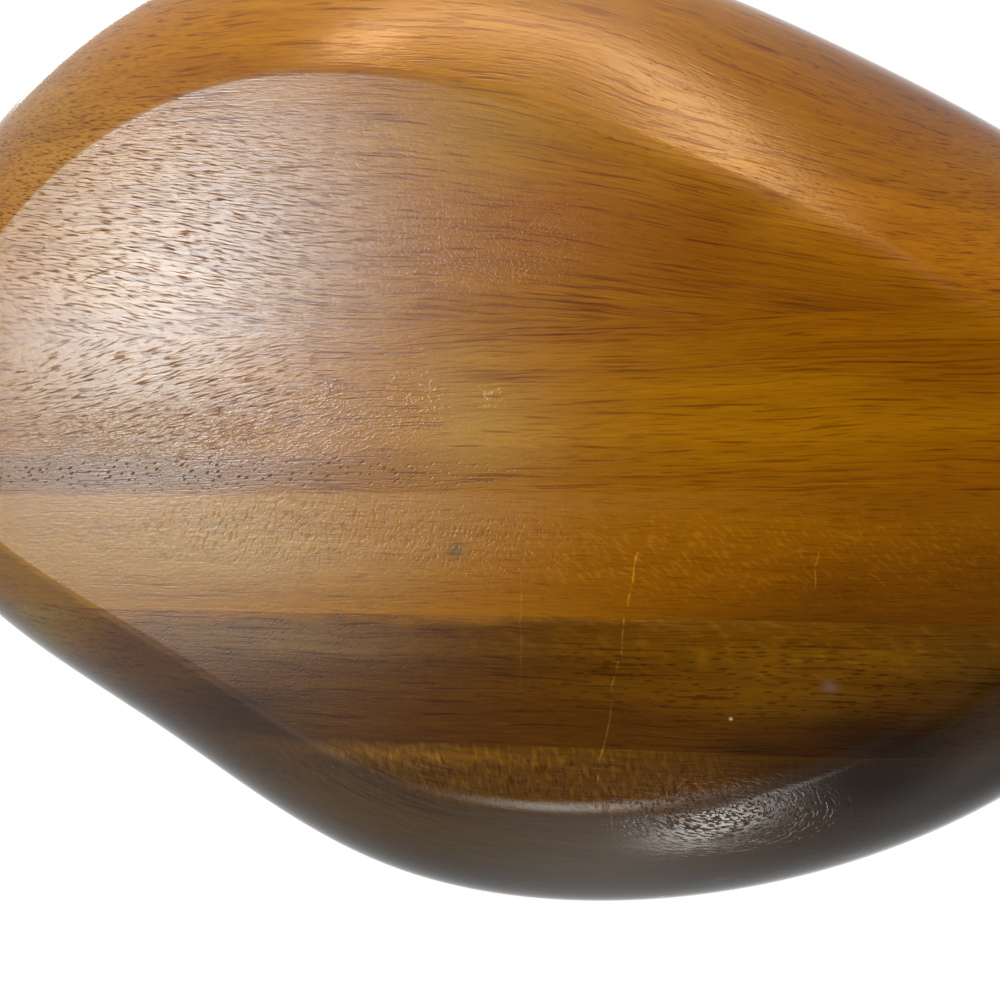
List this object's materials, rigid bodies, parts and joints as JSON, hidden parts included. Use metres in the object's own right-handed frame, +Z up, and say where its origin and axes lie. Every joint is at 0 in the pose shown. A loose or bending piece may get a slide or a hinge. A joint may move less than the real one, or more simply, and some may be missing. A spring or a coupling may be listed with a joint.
{
  "type": "divided serving dish",
  "caption": "Shallow oval wooden serving dish with a lobed outline, a flat foot, a rounded rim and two carved wells parted by an S-curved divider.",
  "frame": {"origin": "centre of the dish on the plane of its flat foot, under the middle of the bounding box", "axes": "+Z up, +X along the dish's length and the grain, +Y across the boards from the front edge board to the rear edge board"},
  "size_m": [0.36, 0.254, 0.038],
  "materials": {
    "orange_brown_wood": "lacquered, satin gloss, arched long grain",
    "golden_brown_wood": "lacquered, satin gloss, straight dark-lined grain",
    "pale_tan_wood": "lacquered, satin gloss, curly flecks",
    "purple_brown_wood": "lacquered, satin gloss, dark figure",
    "mottled_brown_wood": "lacquered, satin gloss, mottled figure"
  },
  "bodies": {
    "root": {"front_edge_board": "orange_brown_wood", "front_centre_board": "golden_brown_wood", "pale_centre_board": "pale_tan_wood", "rear_centre_board": "purple_brown_wood", "rear_edge_board": "mottled_brown_wood"}
  },
  "joints": []
}
